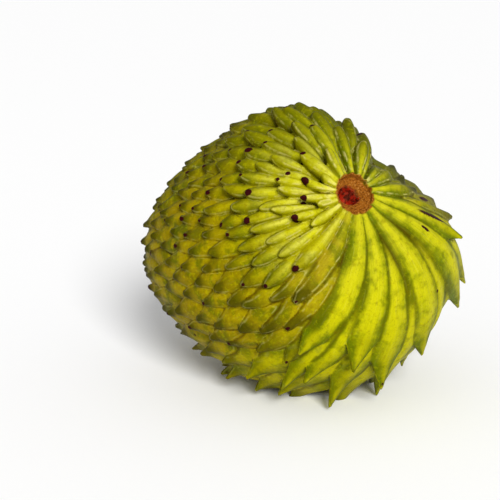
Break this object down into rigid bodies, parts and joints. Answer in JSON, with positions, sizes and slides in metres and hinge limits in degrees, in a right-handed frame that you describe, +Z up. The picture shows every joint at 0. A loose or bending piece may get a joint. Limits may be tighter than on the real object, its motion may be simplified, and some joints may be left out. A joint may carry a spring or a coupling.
{
  "type": "soursop fruit",
  "caption": "Whole soursop lying on its side: a lopsided oval fruit clad in overlapping lobes that fan out from a corky stem scar and close again at the blossom end.",
  "frame": {"origin": "centre of the fruit's bounding box in plan, on the plane that the fruit rests on", "axes": "+Z up; Y is the fruit's longest direction, with the raised stem end towards -Y and the blossom end towards +Y"},
  "size_m": [0.1272, 0.1444, 0.1226],
  "materials": {
    "skin": "satin, slightly waxy olive green"
  },
  "bodies": {
    "root": {"soursop": "skin"}
  },
  "joints": []
}
